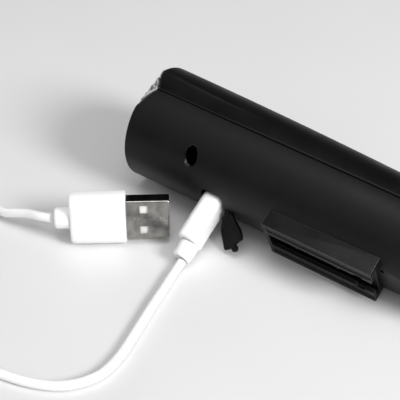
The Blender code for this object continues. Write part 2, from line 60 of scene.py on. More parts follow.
# The case, in mm (the same rules as the CAD shells)
LENGTH, FRONT_RADIUS = 112.0, 17.1
SIDE_TAPER, TOP_TAPER, TOP_CURVE, SECTION_DROP = 0.024, 0.0154, 0.00016, 0.53
TAIL_START, TAIL_ROUND = 98.0, 0.90
WALL, RIM_WALL = 1.8, 3.5
PARTING, PARTING_GAP = 2.6, 0.16
PAD_START, PAD_END, PAD_LEVEL = 46.0, 48.5, 14.8
NO_PAD = FRONT_RADIUS + 2
NOTCH_DEPTH, NOTCH_TOP, NOTCH_BOTTOM = 2.6, 7.2, -5.2
LOWER_REACH, UPPER_REACH = 0.35, 1.15
PORT_AT, PORT_HALVES, PORT_CORNER, PORT_DEPTHS = (30.3, -0.4), (3.75, 5.9), 1.6, (-20.0, -13.4)
PEG_HOLE_AT, PEG_HOLE_RADIUS = (83.0, -5.4), 0.75
PLUG_AT, NECK_AT = (29.9, -0.6), (30.35, -0.35)
BUTTON_X, BUTTON_RADIUS, BUTTON_TOP = 30.5, 4.3, 15.9
WINDOW_X = BUTTON_X + 9.5
SCREWS = (("front_left", 21.8, 12.7), ("front_right", 21.8, -12.7), ("rear", 105.2, 0.0))
SCREW_HOLE_RADIUS, POCKET_RADIUS, POCKET_DEPTHS = 2.05, 3.4, (0.75, 6.0)

# The lead's centreline from the small plug to the large one, in table millimetres
CABLE_ROUTE = [
    (-25.1, -30.0, 1.95),
    (-25.0, -32.3, 1.45),
    (-24.4, -36.2, 1.35),
    (-23.4, -41.4, 1.35),
    (-21.9, -49.6, 1.35),
    (-19.9, -59.0, 1.35),
    (-18.6, -67.0, 1.35),
    (-19.3, -74.5, 1.35),
    (-24.1, -81.4, 1.35),
    (-31.4, -85.5, 1.35),
    (-40.9, -88.1, 1.35),
    (-52.9, -90.9, 1.35),
    (-68.9, -94.2, 1.35),
    (-85.9, -95.8, 1.35),
    (-102.9, -95.2, 1.35),
    (-119.9, -91.0, 1.35),
    (-133.9, -82.0, 1.35),
    (-141.4, -68.5, 1.35),
    (-139.4, -54.5, 1.35),
    (-128.9, -44.8, 1.35),
    (-114.4, -40.6, 1.35),
    (-99.9, -41.0, 1.5),
    (-88.4, -43.2, 2.3),
    (-78.6, -44.5, 3.5),
    (-74.7, -44.0, 4.9),
    (-69.8, -42.9, 6.4),
    (-65.9, -42.7, 7.3),
    (-62.1, -41.6, 7.75),
]
CABLE_DIAMETER = 2.6


# ------------------------ materials
def shader_material(name):
    mat = bpy.data.materials.new(name)
    mat.use_nodes = True
    return mat, mat.node_tree.nodes, mat.node_tree.links, mat.node_tree.nodes["Principled BSDF"]


def noise_node(nodes, links, size_mm, detail=2.0, stretch=(1, 1, 1)):
    """Noise in the object's own metres, whose features are about size_mm across."""
    place = nodes.new('ShaderNodeTexCoord')
    scale = nodes.new('ShaderNodeMapping')
    scale.inputs['Scale'].default_value = stretch
    texture = nodes.new('ShaderNodeTexNoise')
    texture.inputs['Scale'].default_value = 1000.0 / size_mm
    texture.inputs['Detail'].default_value = detail
    links.new(place.outputs['Object'], scale.inputs['Vector'])
    links.new(scale.outputs['Vector'], texture.inputs['Vector'])
    return texture


def ranged(nodes, links, source, low, high, start=0.3, end=0.7):
    remap = nodes.new('ShaderNodeMapRange')
    remap.inputs['From Min'].default_value = start
    remap.inputs['From Max'].default_value = end
    remap.inputs['To Min'].default_value = low
    remap.inputs['To Max'].default_value = high
    links.new(source, remap.inputs['Value'])
    return remap.outputs['Result']


def colour_mix(nodes, links, factor, first, second):
    """Mix of two colours, of which the first may be another node's output."""
    mix = nodes.new('ShaderNodeMix')
    mix.data_type = 'RGBA'
    if isinstance(first, tuple):
        mix.inputs['A'].default_value = (*first, 1.0)
    else:
        links.new(first, mix.inputs['A'])
    mix.inputs['B'].default_value = (*second, 1.0)
    links.new(factor, mix.inputs['Factor'])
    return mix.outputs['Result']


def highlight_edge_mask(nodes, links, edge_mm):
    """One on a piece's edges and zero away from them: the mask for a highlight painted along edges.
    """
    rounded = nodes.new('ShaderNodeBevel')
    rounded.samples = 4
    rounded.inputs['Radius'].default_value = edge_mm * MM
    plain = nodes.new('ShaderNodeNewGeometry')
    likeness = nodes.new('ShaderNodeVectorMath')
    likeness.operation = 'DOT_PRODUCT'
    links.new(rounded.outputs['Normal'], likeness.inputs[0])
    links.new(plain.outputs['Normal'], likeness.inputs[1])
    return ranged(nodes, links, likeness.outputs['Value'], 1.0, 0.0, 0.80, 0.995)


def moulded(name, colour, roughness, grain_mm, grain, vary, specular=0.5, edge_highlight=None,
            edge_mm=0.25, metallic=0.0, subsurface=0.0, patch_mm=9.0):
    """Moulded or metal surface: grain in the bump, patches in colour and gloss, and a highlight
    painted along the edges.

    grain_mm is the grain's width and grain its height; vary is how far the colour strays.
    """
    mat, nodes, links, shader = shader_material(name)
    shader.inputs['Metallic'].default_value = metallic
    shader.inputs['Specular IOR Level'].default_value = specular
    if subsurface:
        shader.inputs['Subsurface Weight'].default_value = subsurface
        shader.inputs['Subsurface Radius'].default_value = (0.002, 0.002, 0.002)
        shader.inputs['Subsurface Scale'].default_value = 0.5
    patches = noise_node(nodes, links, patch_mm, 4.0)
    factor = ranged(nodes, links, patches.outputs['Fac'], 0.0, 1.0)
    dull = tuple(c * (1 - vary) for c in colour)
    bright = tuple(min(1.0, c * (1 + vary)) for c in colour)
    base = colour_mix(nodes, links, factor, dull, bright)
    rough = ranged(nodes, links, patches.outputs['Fac'], roughness * 0.88, roughness * 1.12)
    links.new(rough, shader.inputs['Roughness'])
    grains = noise_node(nodes, links, grain_mm)
    bump = nodes.new('ShaderNodeBump')
    bump.inputs['Strength'].default_value = 1.0
    bump.inputs['Distance'].default_value = grain * MM
    links.new(grains.outputs['Fac'], bump.inputs['Height'])
    links.new(bump.outputs['Normal'], shader.inputs['Normal'])
    # Painted highlight: the colour is lightened along the piece's edges.
    if edge_highlight:
        base = colour_mix(nodes, links, highlight_edge_mask(nodes, links, edge_mm), base, edge_highlight)
    links.new(base, shader.inputs['Base Color'])
    return mat


def clear_plastic(name, tint, roughness, blotch=None):
    """Clear plastic; blotch is the colour of the patches in a less clear one."""
    mat, nodes, links, shader = shader_material(name)
    shader.inputs['IOR'].default_value = 1.55
    shader.inputs['Transmission Weight'].default_value = 1.0 if blotch is None else 0.25
    flow = noise_node(nodes, links, 6.0 if blotch is None else 1.5, 3.0)
    factor = ranged(nodes, links, flow.outputs['Fac'], 0.0, 1.0, 0.42, 0.58)
    second = blotch or tuple(0.96 * c for c in tint)
    links.new(colour_mix(nodes, links, factor, tint, second), shader.inputs['Base Color'])
    links.new(ranged(nodes, links, flow.outputs['Fac'], roughness * 0.7, roughness * 1.3),
              shader.inputs['Roughness'])
    return mat


def wound_sleeve(name, colour):
    """Printed shrink sleeve: plain colour with fine lengthwise drawing lines."""
    mat, nodes, links, shader = shader_material(name)
    lines = noise_node(nodes, links, 1.0, 2.0, (0.05, 1, 1))
    factor = ranged(nodes, links, lines.outputs['Fac'], 0.0, 1.0)
    links.new(colour_mix(nodes, links, factor, tuple(0.8 * c for c in colour), colour),
              shader.inputs['Base Color'])
    shader.inputs['Roughness'].default_value = 0.3
    return mat


def make_materials():
    return {
        'shell': moulded("shell_plastic", (0.0034, 0.0034, 0.0035), roughness=0.44, grain_mm=0.16,
                         grain=0.006, vary=0.12, specular=0.24, edge_highlight=(0.012, 0.012, 0.0125),
                         edge_mm=0.3),
        # Painted highlight: the upper shell's rounded front band gets a lighter black than the rest
        # of the shell.
        'shell_edge': moulded("shell_painted_highlight_plastic", (0.012, 0.012, 0.0122), roughness=0.30,
                              grain_mm=0.16, grain=0.004, vary=0.2, specular=0.45),
        # Painted glint: a bright grey for the lower shell's edge along the side notches.
        'shell_glint': moulded("shell_painted_glint_plastic", (0.05, 0.05, 0.05), roughness=0.24,
                               grain_mm=0.16, grain=0.004, vary=0.2, specular=0.8),
        'rail': moulded("rail_plastic", (0.0055, 0.0055, 0.0055), roughness=0.44, grain_mm=0.30,
                        grain=0.12, vary=0.6, specular=0.22, edge_highlight=(0.09, 0.09, 0.09),
                        edge_mm=0.32),
        # Painted highlight: the rail's rounded edges get a much lighter, glossier grey than the
        # rail.
        'rail_edge': moulded("rail_painted_highlight_plastic", (0.12, 0.12, 0.12), roughness=0.22,
                             grain_mm=0.45, grain=0.02, vary=0.5, specular=1.0),
        'rubber': moulded("cover_rubber", (0.0022, 0.0022, 0.0022), roughness=0.55, grain_mm=0.3,
                          grain=0.02, vary=0.3, specular=0.14, edge_highlight=(0.016, 0.016, 0.016),
                          edge_mm=0.2),
        'gasket': moulded("gasket_rubber", (0.012, 0.012, 0.012), roughness=0.7, grain_mm=0.3,
                          grain=0.02, vary=0.3, specular=0.3),
        'button': moulded("button_rubber", (0.02, 0.02, 0.021), roughness=0.6, grain_mm=0.25,
                          grain=0.02, vary=0.2, specular=0.35, edge_highlight=(0.05, 0.05, 0.05),
                          edge_mm=0.2),
        'white': moulded("white_pvc", (0.965, 0.965, 0.97), roughness=0.36, grain_mm=0.5,
                         grain=0.006, vary=0.01, subsurface=0.3),
        'tongue': moulded("white_tongue", (0.86, 0.86, 0.85), roughness=0.4, grain_mm=0.4,
                          grain=0.01, vary=0.03),
        'chrome': moulded("plug_nickel", (0.30, 0.29, 0.275), roughness=0.15, grain_mm=0.35,
                          grain=0.004, vary=0.30, edge_highlight=(0.9, 0.9, 0.88), edge_mm=0.12,
                          metallic=1.0, patch_mm=2.4),
        'socket': moulded("socket_nickel", (0.5, 0.49, 0.46), roughness=0.3, grain_mm=0.3,
                          grain=0.004, vary=0.15, metallic=1.0, patch_mm=2.0),
        'screw': moulded("screw_black_zinc", (0.12, 0.12, 0.125), roughness=0.32, grain_mm=0.2,
                         grain=0.01, vary=0.25, edge_highlight=(0.4, 0.4, 0.4), edge_mm=0.1, metallic=1.0,
                         patch_mm=1.0),
        'mirror': moulded("reflector_aluminium", (0.9, 0.9, 0.9), roughness=0.06, grain_mm=1.2,
                          grain=0.003, vary=0.02, metallic=1.0),
        'sink': moulded("heat_sink_aluminium", (0.7, 0.71, 0.72), roughness=0.35, grain_mm=0.2,
                        grain=0.01, vary=0.08, metallic=1.0),
        'phosphor': moulded("led_phosphor", (0.85, 0.68, 0.10), roughness=0.35, grain_mm=0.1,
                            grain=0.01, vary=0.1),
        'board': moulded("solder_mask_green", (0.02, 0.16, 0.07), roughness=0.35, grain_mm=0.4,
                         grain=0.01, vary=0.3, patch_mm=3.0),
        'inner': moulded("inner_plastic", (0.03, 0.03, 0.032), roughness=0.5, grain_mm=0.3,
                         grain=0.01, vary=0.2, specular=0.4),
        'foam': moulded("cell_foam", (0.07, 0.07, 0.075), roughness=0.95, grain_mm=0.5, grain=0.15,
                        vary=0.3, specular=0.2),
        'red': moulded("red_pvc", (0.6, 0.02, 0.02), roughness=0.4, grain_mm=0.3, grain=0.01,
                       vary=0.1),
        'black': moulded("black_pvc", (0.01, 0.01, 0.01), roughness=0.4, grain_mm=0.3, grain=0.01,
                         vary=0.1),
        'cell': wound_sleeve("cell_sleeve", (0.03, 0.12, 0.45)),
        'lens': clear_plastic("lens_clear", (0.97, 0.98, 0.98), roughness=0.02),
        # Painted: the ears' grey with dark patches stands for the lens's inner ribs as they show
        # through the clear plastic.
        'ear': clear_plastic("lens_ear_painted_ribs", (0.52, 0.53, 0.54), roughness=0.2,
                             blotch=(0.10, 0.10, 0.105)),
        # On the lens ears this brighter clear finish is a painted highlight along their border; the
        # indicator window uses it as its plain finish.
        'ear_rim': clear_plastic("lens_ear_rim", (0.85, 0.86, 0.87), roughness=0.15,
                                 blotch=(0.7, 0.7, 0.7)),
    }


# ------------------------ mesh helpers
# Faces that meet at less than this many degrees are shaded as one.
SMOOTH_ANGLE = 38
# Edges shorter than this, in metres, are dissolved after a cut or a bevel.
SHORTEST_EDGE = 2e-6
# Share of a step by which a turned piece's points are shifted around its axis.
TURN_SHIFT = 0.3


def mesh_piece(name, bm, mats, matrix=LIGHT, smooth=SMOOTH_ANGLE):
    """Object from a bmesh in local millimetres, with its vertices put in the row frame."""
    bmesh.ops.recalc_face_normals(bm, faces=bm.faces)
    bm.transform(matrix)
    data = bpy.data.meshes.new(name)
    bm.to_mesh(data)
    bm.free()
    for mat in mats if isinstance(mats, (list, tuple)) else [mats]:
        data.materials.append(mat)
    data.shade_smooth()
    data.set_sharp_from_angle(angle=math.radians(smooth))
    obj = bpy.data.objects.new(name, data)
    bpy.context.scene.collection.objects.link(obj)
    return obj


def bake_modifiers(obj):
    """Put the result of the piece's modifiers into its mesh."""
    bpy.context.view_layer.update()
    graph = bpy.context.evaluated_depsgraph_get()
    data = bpy.data.meshes.new_from_object(obj.evaluated_get(graph))
    obj.modifiers.clear()
    obj.data = data
    bm = bmesh.new()
    bm.from_mesh(data)
    bmesh.ops.dissolve_degenerate(bm, dist=SHORTEST_EDGE, edges=bm.edges)
    bm.to_mesh(data)
    bm.free()
    data.name = obj.name
    data.shade_smooth()
    data.set_sharp_from_angle(angle=math.radians(SMOOTH_ANGLE))


def carve(obj, cutters, operation='DIFFERENCE'):
    """Cut each cutter out of the piece, or join it on, one at a time, and remove it."""
    for cutter in cutters:
        step = obj.modifiers.new("cut", 'BOOLEAN')
        step.solver = 'EXACT'
        step.operation = operation
        step.object = cutter
        bake_modifiers(obj)
        bpy.data.objects.remove(cutter)


def soften(obj, width_mm, segments=2, angle=35, edge_slot=-1):
    """Round the piece's edges with real faces, which can take a material of their own."""
    step = obj.modifiers.new("edges", 'BEVEL')
    step.width = width_mm * MM
    step.segments = segments
    step.limit_method = 'ANGLE'
    step.angle_limit = math.radians(angle)
    step.harden_normals = False
    step.material = edge_slot
    bake_modifiers(obj)


def adopt(obj, body, slot, *nodes):
    """The piece moves with a body and stands for CAD nodes, which it hides. The slot argument is
    not used.
    """
    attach(obj, body)
    if nodes:
        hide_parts(*nodes)


def loft(rings):
    """Closed solid through rings that have the same number of points."""
    bm = bmesh.new()
    rows = [[bm.verts.new(point) for point in ring] for ring in rings]
    count = len(rows[0])
    for low, high in zip(rows, rows[1:]):
        for i in range(count):
            j = (i + 1) % count
            bm.faces.new((low[i], low[j], high[j], high[i]))
    bm.faces.new(rows[0][::-1])
    bm.faces.new(rows[-1])
    return bm


def box(x, y, z):
    """Box between the low and high value given for each direction."""
    bm = bmesh.new()
    bmesh.ops.create_cube(bm, size=1.0)
    for vert in bm.verts:
        vert.co = Vector(low + (high - low) * (part + 0.5)
                         for (low, high), part in zip((x, y, z), vert.co))
    return bm


def rounded_rect(a, b, radius, steps=8):
    """Outline of a rectangle with half sides a and b and round corners."""
    points = []
    for corner, (sa, sb) in enumerate(((1, 1), (-1, 1), (-1, -1), (1, -1))):
        for i in range(steps + 1):
            turn = math.radians(90 * corner + 90 * i / steps)
            points.append((sa * (a - radius) + radius * math.cos(turn),
                           sb * (b - radius) + radius * math.sin(turn)))
    return points


def turned(profile, centre=(0, 0), axis='X', sides=96):
    """Solid of revolution from (along, radius) points, about an axis through centre."""
    bm = bmesh.new()
    rows = []
    for i in range(sides):
        turn = 2 * math.pi * (i + TURN_SHIFT) / sides
        row = []
        for along, radius in profile:
            u = centre[0] + radius * math.cos(turn)
            v = centre[1] + radius * math.sin(turn)
            row.append(bm.verts.new((along, u, v) if axis == 'X' else (u, v, along)))
        rows.append(row)
    for i, row in enumerate(rows):
        following = rows[(i + 1) % sides]
        for j in range(len(profile)):
            k = (j + 1) % len(profile)
            if profile[j][1] or profile[k][1]:
                bm.faces.new((row[j], row[k], following[k], following[j]))
    bmesh.ops.remove_doubles(bm, verts=bm.verts, dist=1e-4)
    return bm


def rod(low, high, radius, centre=(0, 0), axis='X', sides=48):
    return turned([(low, 0), (low, radius), (high, radius), (high, 0)], centre, axis, sides)


def add_mesh(target, extra):
    """Add one bmesh's faces to another, and free it."""
    spare = bpy.data.meshes.new("spare")
    extra.to_mesh(spare)
    extra.free()
    target.from_mesh(spare)
    bpy.data.meshes.remove(spare)


def hidden(name, bm, matrix=LIGHT):
    """Cutter that carve() removes after use."""
    return mesh_piece(name, bm, [], matrix)


def smooth_route(points, step):
    """Points about a step apart on the smooth curve through the given ones."""
    fine = 24
    points = [Vector(p) for p in points]
    ends = [2 * points[0] - points[1]] + points + [2 * points[-1] - points[-2]]
    dense = []
    for p0, p1, p2, p3 in zip(ends, ends[1:], ends[2:], ends[3:]):
        for i in range(fine):
            t = i / fine
            dense.append(0.5 * (2 * p1 + (p2 - p0) * t + (2 * p0 - 5 * p1 + 4 * p2 - p3) * t * t
                                + (3 * p1 - p0 - 3 * p2 + p3) * t ** 3))
    dense.append(points[-1])
    lengths = [0.0]
    for a, b in zip(dense, dense[1:]):
        lengths.append(lengths[-1] + (b - a).length)
    count = round(lengths[-1] / step)
    route = []
    j = 0
    for i in range(count + 1):
        want = lengths[-1] * i / count
        while j < len(dense) - 2 and lengths[j + 1] < want:
            j += 1
        share = (want - lengths[j]) / (lengths[j + 1] - lengths[j])
        route.append(dense[j].lerp(dense[j + 1], share))
    return route


# ------------------------ case shells
# The flat facet beside the upper shell's joint is full up to the first x and gone at the second.
FACET_FADE = (14.0, 46.0)
FACET_HOLLOW = 0.25
RIDGE_HALF, RIDGE_HEIGHT, RIDGE_OUT, RIDGE_UP = 0.45, 0.13, 0.9, 0.4

# Distances from the joint and from the front at which the shells have points of their own.
LIP_STEPS = (0.0, 0.06, 0.16, 0.3, 0.48, 0.7)
LIP_ROUND = 0.42
NOSE_STEPS = (0.0, 0.05, 0.15, 0.3, 0.5, 0.75, 1.05, 1.4, 1.8, 2.3, 3.0)
BODY_START, FINE_STEP, FINE_END, COARSE_STEP = 3.8, 1.0, 20.0, 1.8
TAIL_STEPS = 16
UNDERSIDE_STEPS, SIDE_STEPS, FACET_STEPS, TOP_STEPS = 10, 46, 10, 40

# The inner skin ends 9 mm behind the start of the tail and starts behind the front rim.
INNER_TAIL = 9.0 / (LENGTH - TAIL_START)
RIM_SETBACK, RIM_FADE, JOINT_CLEAR = 1.1, (1.2, 4.5), 0.02
# How many rows behind the front take each shell's second material (a painted highlight on the upper
# shell, a painted glint on the lower one), and how far from the joint.
LOWER_EDGE_ROWS, UPPER_EDGE_ROWS = 5, 6
EDGE_BAND = 6.6


def half_width(x):
    return FRONT_RADIUS - SIDE_TAPER * x


def half_height(x):
    return FRONT_RADIUS - TOP_TAPER * x - TOP_CURVE * x * x


def drop(x):
    return SECTION_DROP * (FRONT_RADIUS - half_height(x))


def clamp(value, low=0.0, high=1.0):
    return max(low, min(high, value))


def blend(value, start, end):
    t = clamp((value - start) / (end - start))
    return t * t * (3 - 2 * t)


def spread(start, end, count):
    """Even steps from start towards end, which is left out."""
    return [start + (end - start) * i / count for i in range(count)]


def tail(x):
    """Share of its full size that the section has at x."""
    run = clamp((x - TAIL_START) / (LENGTH - TAIL_START))
    return math.sqrt(1 - (TAIL_ROUND * run) ** 2)


def pad(x):
    """Depth at which the underside is cut flat, which is below the case ahead of the rail."""
    share = clamp((x - PAD_START) / (PAD_END - PAD_START))
    return NO_PAD + (PAD_LEVEL - NO_PAD) * share


def section(x, angle, inset=0.0):
    """Point on the case at x, at an angle from straight below, moved inwards by inset."""
    at = clamp(x, 0.0, LENGTH)
    wide = half_width(at) * tail(at) - inset
    high = half_height(at) * tail(at) - inset
    z = -drop(at) - high * math.cos(angle)
    return Vector((x, wide * math.sin(angle), max(z, -pad(at) + inset)))


def angle_at(x, level):
    """Angle from straight below, up to half a turn, at which the section reaches a height."""
    at = clamp(x, 0.0, LENGTH)
    return math.acos(clamp(-(level + drop(at)) / (half_height(at) * tail(at)), -1.0, 1.0))


def soft_ramp(t, soft=0.03):
    t = clamp(t)
    low, high = math.sqrt(soft), math.sqrt(1 + soft)
    return (math.sqrt(t * t + soft) - low) / (high - low)


def front_line(z, lower):
    """How far back the shell's front edge is at a height: behind x = 0 only at the side notches."""
    if lower:
        ramp = soft_ramp((z - NOTCH_BOTTOM) / (PARTING - NOTCH_BOTTOM))
        return NOTCH_DEPTH * ramp - LOWER_REACH * (1 - ramp)
    ramp = soft_ramp((NOTCH_TOP - z) / (NOTCH_TOP - PARTING), 0.01)
    return NOTCH_DEPTH * ramp - UPPER_REACH * blend(z, 5.5, 10.0)


def nose_radius(z, lower):
    """Rounding of the front edge at a height."""
    if lower:
        return 0.25 + 0.6 * blend(z, -7.0, -3.0)
    return 1.2 - 0.15 * clamp((NOTCH_TOP + 3.0 - z) / 3.0)


def edge_round(x, radius):
    """Inset of an edge rounded to radius, at distance x from it."""
    if x >= radius:
        return 0.0
    return radius - math.sqrt(max(0.0, radius ** 2 - (radius - x) ** 2))


def joint_level(lower):
    return PARTING + (-0.5 if lower else 0.5) * PARTING_GAP


def crease_level(x):
    """Height of the upper shell's crease, which falls rearwards in three stretches."""
    first = 0.085 * min(x, 10.0)
    second = 0.05 * clamp(x - 10.0, 0.0, 8.0)
    third = 0.02 * max(0.0, x - 18)
    return 9.5 - first - second - third


def lower_angles(x):
    lips = [angle_at(x, joint_level(True) - d) for d in LIP_STEPS]
    flat = max(0.2, angle_at(x, -pad(x)))
    half = spread(0.0, flat, UNDERSIDE_STEPS) + spread(flat, lips[-1], SIDE_STEPS) + lips[::-1]
    return [-a for a in half[::-1]] + half[1:]


def upper_angles(x):
    level = joint_level(False)
    usable = half_height(x) * tail(x) - drop(x) - level
    squeeze = min(1.0, usable / 7.0)
    lips = [angle_at(x, level + d * squeeze) for d in LIP_STEPS]
    crease = max(min(crease_level(x), level + 0.7 * usable), level + 1.6 * squeeze)
    near = [angle_at(x, crease + d * squeeze)
            for d in (-RIDGE_HALF, -0.2, 0.0, 0.2, RIDGE_HALF)]
    facet = spread(lips[-1], near[0], FACET_STEPS)[1:]
    half = lips + facet + near + spread(near[-1], math.pi, TOP_STEPS)[1:]
    return half + [math.pi] + [2 * math.pi - a for a in half[::-1]]


def upper_point(x, angle, inset):
    """The upper shell's side is a flat facet up to a crease, which fades out rearwards."""
    point = section(x, angle, inset)
    strength = 1.0 - blend(x, *FACET_FADE)
    level = joint_level(False)
    crease = crease_level(x)
    if strength <= 0 or point.z >= crease + 0.5 or point.z < level:
        return point
    side = math.copysign(1.0, point.y)
    foot = section(x, side * angle_at(x, level), inset)
    head = section(x, side * angle_at(x, crease), inset)
    ridge = max(0.0, 1 - abs(point.z - crease) / RIDGE_HALF) * RIDGE_HEIGHT
    if point.z <= crease:
        share = (point.z - foot.z) / max(1e-6, head.z - foot.z)
        flat = foot.y + (head.y - foot.y) * share
        hollow = FACET_HOLLOW * math.sin(math.pi * clamp(share))
        point.y += (flat - side * hollow - point.y) * strength
    point.y += side * ridge * strength * RIDGE_OUT
    point.z += ridge * strength * RIDGE_UP
    return point


def stations():
    """Distances behind the lens at which the shells have a row of points."""
    places = list(NOSE_STEPS)
    x = BODY_START
    while x < TAIL_START:
        places.append(x)
        x += FINE_STEP if x < FINE_END else COARSE_STEP
    return places + [TAIL_START + (LENGTH - TAIL_START) * math.sin(math.pi / 2 * i / TAIL_STEPS)
                     for i in range(TAIL_STEPS + 1)]


def skin_points(s, angle, lower):
    """Outer and inner point of a shell at a station s and an angle."""
    plain = section(s, angle)
    x = s + front_line(plain.z, lower) * (1 - blend(s, 0.0, 9.0))
    nose = edge_round(s, nose_radius(plain.z, lower))
    lip = edge_round(abs(plain.z - joint_level(lower)), LIP_ROUND)
    inset = min(nose + lip, max(nose, lip) + 0.3)
    outside = section(x, angle, inset) if lower else upper_point(x, angle, inset)
    depth = WALL + (RIM_WALL - WALL) * (1 - blend(s, *RIM_FADE))
    within = x if s <= TAIL_START else TAIL_START + (x - TAIL_START) * INNER_TAIL
    inside = section(within, angle, depth)
    inside.x = within + RIM_SETBACK * (1 - blend(s, 0.0, 3.0))
    return outside, inside


def shell_grid(lower):
    """Outer and inner skins of a shell as rows of points, front to tail."""
    level = joint_level(lower)
    angles_at = lower_angles if lower else upper_angles
    outer, inner = [], []
    for s in stations():
        row_out, row_in = [], []
        angles = angles_at(s)
        for i, angle in enumerate(angles):
            outside, inside = skin_points(s, angle, lower)
            if i in (0, len(angles) - 1):
                outside.z = level
                inside.z = level
            elif lower:
                inside.z = min(inside.z, level - JOINT_CLEAR)
            else:
                inside.z = max(inside.z, level + JOINT_CLEAR)
            row_out.append(outside)
            row_in.append(inside)
        outer.append(row_out)
        inner.append(row_in)
    return outer, inner


def shell_solid(lower):
    """Closed C-section solid: two skins, the front rim, the two joint faces and the tail."""
    outer, inner = shell_grid(lower)
    edge_rows = LOWER_EDGE_ROWS if lower else UPPER_EDGE_ROWS
    bm = bmesh.new()
    out = [[bm.verts.new(p) for p in row] for row in outer]
    inn = [[bm.verts.new(p) for p in row] for row in inner]
    last = len(out[0]) - 1
    for i in range(len(out) - 1):
        for j in range(last):
            skin = bm.faces.new((out[i][j], out[i][j + 1], out[i + 1][j + 1], out[i + 1][j]))
            # Faces near the front and the joint take slot 1: a painted highlight on the upper
            # shell, a painted glint on the lower one.
            if i < edge_rows and abs(out[i][j].co.z - PARTING) < EDGE_BAND:
                skin.material_index = 1
            bm.faces.new((inn[i][j + 1], inn[i][j], inn[i + 1][j], inn[i + 1][j + 1]))
        for j in (0, last):
            bm.faces.new((out[i][j], out[i + 1][j], inn[i + 1][j], inn[i][j]))
    for j in range(last):
        bm.faces.new((out[0][j + 1], out[0][j], inn[0][j], inn[0][j + 1]))
    bm.faces.new(out[-1])
    bm.faces.new(inn[-1][::-1])
    bm.faces.new((out[-1][0], inn[-1][0], inn[-1][last], out[-1][last]))
    return bm


def screw_cutters():
    """For each case screw, the hole up to it and a pocket that widens the hole under the skin."""
    cutters = []
    for name, x, y in SCREWS:
        hole = rod(-25, -6.0, SCREW_HOLE_RADIUS, (x, y), 'Z')
        cutters.append(hidden("recess_" + name, hole))
        lean = math.asin(y / half_width(x))
        inwards = Vector((0.0, -math.sin(lean), math.cos(lean)))
        turn = inwards.to_track_quat('X', 'Z').to_matrix().to_4x4()
        place = Matrix.Translation(section(x, lean)) @ turn
        pocket = rod(*POCKET_DEPTHS, POCKET_RADIUS)
        cutters.append(hidden("pocket_" + name, pocket, LIGHT @ place))
    return cutters


def lower_shell(mats):
    # Slot 1 is the painted glint along the notch edge.
    shell = mesh_piece("case_lower", shell_solid(True), (mats['shell'], mats['shell_glint']))
    outline = rounded_rect(*PORT_HALVES, PORT_CORNER)
    port = [[(PORT_AT[0] + x, PORT_AT[1] + y, z) for x, y in outline] for z in PORT_DEPTHS]
    carve(shell, screw_cutters() + [
        hidden("port_recess", loft(port)),
        hidden("peg_hole", rod(-20, -13.0, PEG_HOLE_RADIUS, PEG_HOLE_AT, 'Z', 32)),
    ])
    adopt(shell, "light", "black_matt_plastic", "lower_shell")


def upper_shell(mats):
    # Slot 1 is the painted highlight on the front band.
    shell = mesh_piece("case_upper", shell_solid(False), (mats['shell'], mats['shell_edge']))
    holes = rod(8, 20, BUTTON_RADIUS + 0.3, (BUTTON_X, 0), 'Z', 96)
    add_mesh(holes, rod(8.5, 19.5, 0.9, (WINDOW_X, 0), 'Z', 48))
    carve(shell, [hidden("holes", holes)])
    adopt(shell, "light", "black_matt_plastic", "upper_shell")


# ------------------------ lens
LENS_RADIUS, LENS_BACK, LENS_FRONT = 13.2, 2.55, 0.55
EAR_LEVELS = (NOTCH_BOTTOM + 0.9, NOTCH_TOP - 0.6)
EAR_GAP, EAR_SINK, EAR_DEPTH, EAR_SHORTEST = 0.14, 0.12, 3.6, 0.36
# Width of the ear's border that takes the painted highlight.
EAR_BORDER = 0.36


def case_side(z):
    """Half width of the case at a height, just behind its front."""
    return abs(section(1.0, angle_at(1.0, z)).y)


def lens_ear(side):
    """Wedge of the lens that fills one side notch, with a raised border that lens_ears paints
    brighter as a highlight.
    """
    low, high = EAR_LEVELS
    rings = []
    for z in spread(low, high, 40) + [high]:
        front, back = EAR_GAP, max(front_line(z, z < PARTING) - EAR_GAP, EAR_SHORTEST)
        rim = min(0.2, (back - front) / 3)
        skin = case_side(z) - EAR_SINK - edge_round(min(z - low, high - z), 0.3) * 0.5
        foot = case_side(z) - EAR_DEPTH
        profile = [(front, foot), (front, skin - 0.5), (front + rim * 0.5, skin - 0.08),
                   (front + rim, skin - 0.3), (back - rim, skin - 0.3), (back - rim * 0.6, skin),
                   (back, skin - 0.12), (back, foot)]
        rings.append([(x, side * y, z) for x, y in profile])
    return loft(rings)


def lens_disc(mats):
    edge = LENS_RADIUS - 0.3
    rear = [(LENS_BACK - 0.5 * (r / LENS_RADIUS) ** 2, r) for r in (0, 3, 6, 9, 11, 12.6)]
    rim = [(LENS_BACK - 0.5, LENS_RADIUS), (LENS_FRONT + 0.2, LENS_RADIUS), (LENS_FRONT, edge)]
    front = [(LENS_FRONT - 0.2 * (1 - (r / edge) ** 2), r) for r in (11, 9, 6, 3, 0)]
    lens = mesh_piece("lens_disc", turned(rear + rim + front, sides=128), mats['lens'], smooth=30)
    adopt(lens, "light", "clear_polycarbonate", "front_lens")


def lens_ears(mats):
    for side, name in ((-1, "lens_ear_right"), (1, "lens_ear_left")):
        ear = mesh_piece(name, lens_ear(side), [mats['ear'], mats['ear_rim']], smooth=60)
        # Faces along the case's side take slot 1: a painted highlight along the ear's border.
        for face in ear.data.polygons:
            middle = LIGHT.inverted() @ face.center
            if case_side(middle.z) - abs(middle.y) < EAR_BORDER:
                face.material_index = 1
        adopt(ear, "light", "clear_polycarbonate")


